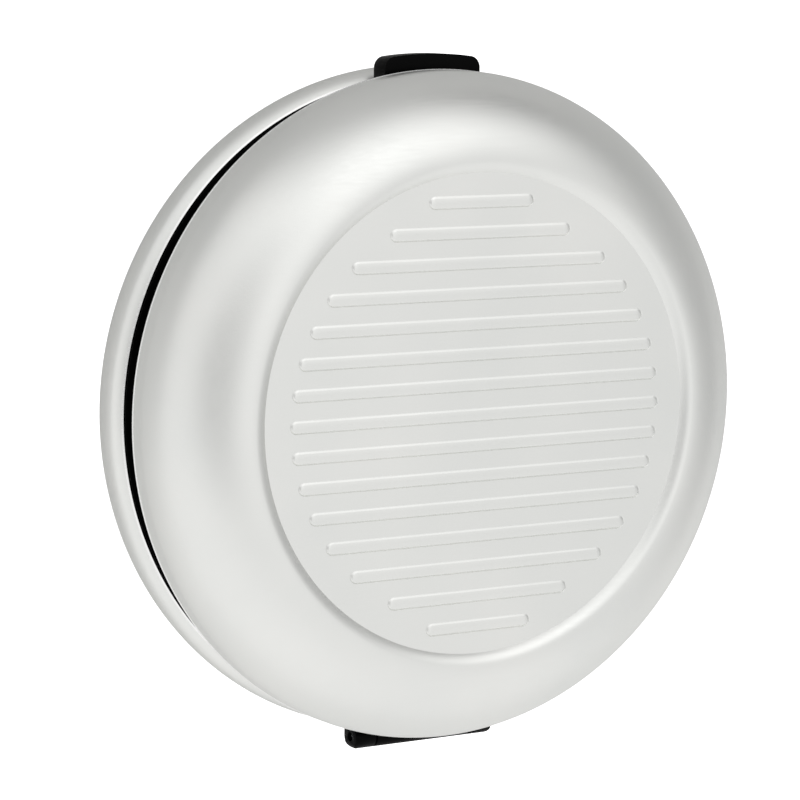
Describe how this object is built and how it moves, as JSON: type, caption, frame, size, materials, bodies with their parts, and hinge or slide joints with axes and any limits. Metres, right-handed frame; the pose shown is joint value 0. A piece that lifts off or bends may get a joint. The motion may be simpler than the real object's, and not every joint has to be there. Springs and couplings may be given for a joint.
{
  "type": "coin dispenser",
  "caption": "Round pocket coin dispenser: a ribbed satin aluminium clamshell, hinged and latched, over a black tray of sprung coin wells.",
  "frame": {"origin": "centre of the flat ring on the base that the part rests on", "axes": "+Z out of the ribbed lid, +Y towards the latch button, +X along the hinge pin"},
  "size_m": [0.0868, 0.09, 0.0294],
  "materials": {
    "satin_aluminium": "fine-blasted, clear anodised",
    "black_plastic": "moulded, fine satin",
    "dark_plastic": "moulded, satin",
    "spring_steel": "drawn wire",
    "plated_steel": "bright zinc"
  },
  "bodies": {
    "base": {"base_shell": "satin_aluminium", "base_liner": "black_plastic", "coin_tray": "black_plastic", "tray_screws": "plated_steel", "hinge_pin": "plated_steel", "latch_spring": "spring_steel", "coin_well_1": "dark_plastic", "coin_well_2": "dark_plastic", "coin_well_3": "dark_plastic", "coin_well_4": "dark_plastic", "coin_well_5": "dark_plastic", "coin_well_6": "dark_plastic", "coin_well_7": "dark_plastic", "coin_well_8": "dark_plastic", "pusher_spring_1": "spring_steel", "pusher_spring_2": "spring_steel", "pusher_spring_3": "spring_steel", "pusher_spring_4": "spring_steel", "pusher_spring_5": "spring_steel", "pusher_spring_6": "spring_steel", "pusher_spring_7": "spring_steel", "pusher_spring_8": "spring_steel"},
    "lid": {"lid_shell": "satin_aluminium", "lid_liner": "black_plastic"},
    "latch": {"latch_button": "black_plastic"},
    "pusher_1": {"coin_pusher_1": "black_plastic"},
    "pusher_2": {"coin_pusher_2": "black_plastic"},
    "pusher_3": {"coin_pusher_3": "black_plastic"},
    "pusher_4": {"coin_pusher_4": "black_plastic"},
    "pusher_5": {"coin_pusher_5": "black_plastic"},
    "pusher_6": {"coin_pusher_6": "black_plastic"},
    "pusher_7": {"coin_pusher_7": "black_plastic"},
    "pusher_8": {"coin_pusher_8": "black_plastic"}
  },
  "joints": [
    {"name": "lid_hinge", "type": "hinge", "parent": "base", "child": "lid", "pos_m": [0, -0.0434, 0.0138], "axis": [1, 0, 0], "range_deg": [0, 170]},
    {"name": "latch_press", "type": "slide", "parent": "base", "child": "latch", "axis": [0, -1, 0], "range_m": [0, 0.0012], "stiffness_N_per_m": 600, "springref_m": -0.0005, "deforming": ["latch_spring"]},
    {"name": "pusher_1_slide", "type": "slide", "parent": "base", "child": "pusher_1", "axis": [0, 0, 1], "range_m": [-0.008, 0], "stiffness_N_per_m": 120, "springref_m": 0.004, "deforming": ["pusher_spring_1"]},
    {"name": "pusher_2_slide", "type": "slide", "parent": "base", "child": "pusher_2", "axis": [0, 0, 1], "range_m": [-0.008, 0], "stiffness_N_per_m": 120, "springref_m": 0.004, "deforming": ["pusher_spring_2"]},
    {"name": "pusher_3_slide", "type": "slide", "parent": "base", "child": "pusher_3", "axis": [0, 0, 1], "range_m": [-0.008, 0], "stiffness_N_per_m": 120, "springref_m": 0.004, "deforming": ["pusher_spring_3"]},
    {"name": "pusher_4_slide", "type": "slide", "parent": "base", "child": "pusher_4", "axis": [0, 0, 1], "range_m": [-0.008, 0], "stiffness_N_per_m": 120, "springref_m": 0.004, "deforming": ["pusher_spring_4"]},
    {"name": "pusher_5_slide", "type": "slide", "parent": "base", "child": "pusher_5", "axis": [0, 0, 1], "range_m": [-0.008, 0], "stiffness_N_per_m": 120, "springref_m": 0.004, "deforming": ["pusher_spring_5"]},
    {"name": "pusher_6_slide", "type": "slide", "parent": "base", "child": "pusher_6", "axis": [0, 0, 1], "range_m": [-0.008, 0], "stiffness_N_per_m": 120, "springref_m": 0.004, "deforming": ["pusher_spring_6"]},
    {"name": "pusher_7_slide", "type": "slide", "parent": "base", "child": "pusher_7", "axis": [0, 0, 1], "range_m": [-0.008, 0], "stiffness_N_per_m": 120, "springref_m": 0.004, "deforming": ["pusher_spring_7"]},
    {"name": "pusher_8_slide", "type": "slide", "parent": "base", "child": "pusher_8", "axis": [0, 0, 1], "range_m": [-0.008, 0], "stiffness_N_per_m": 120, "springref_m": 0.004, "deforming": ["pusher_spring_8"]}
  ]
}
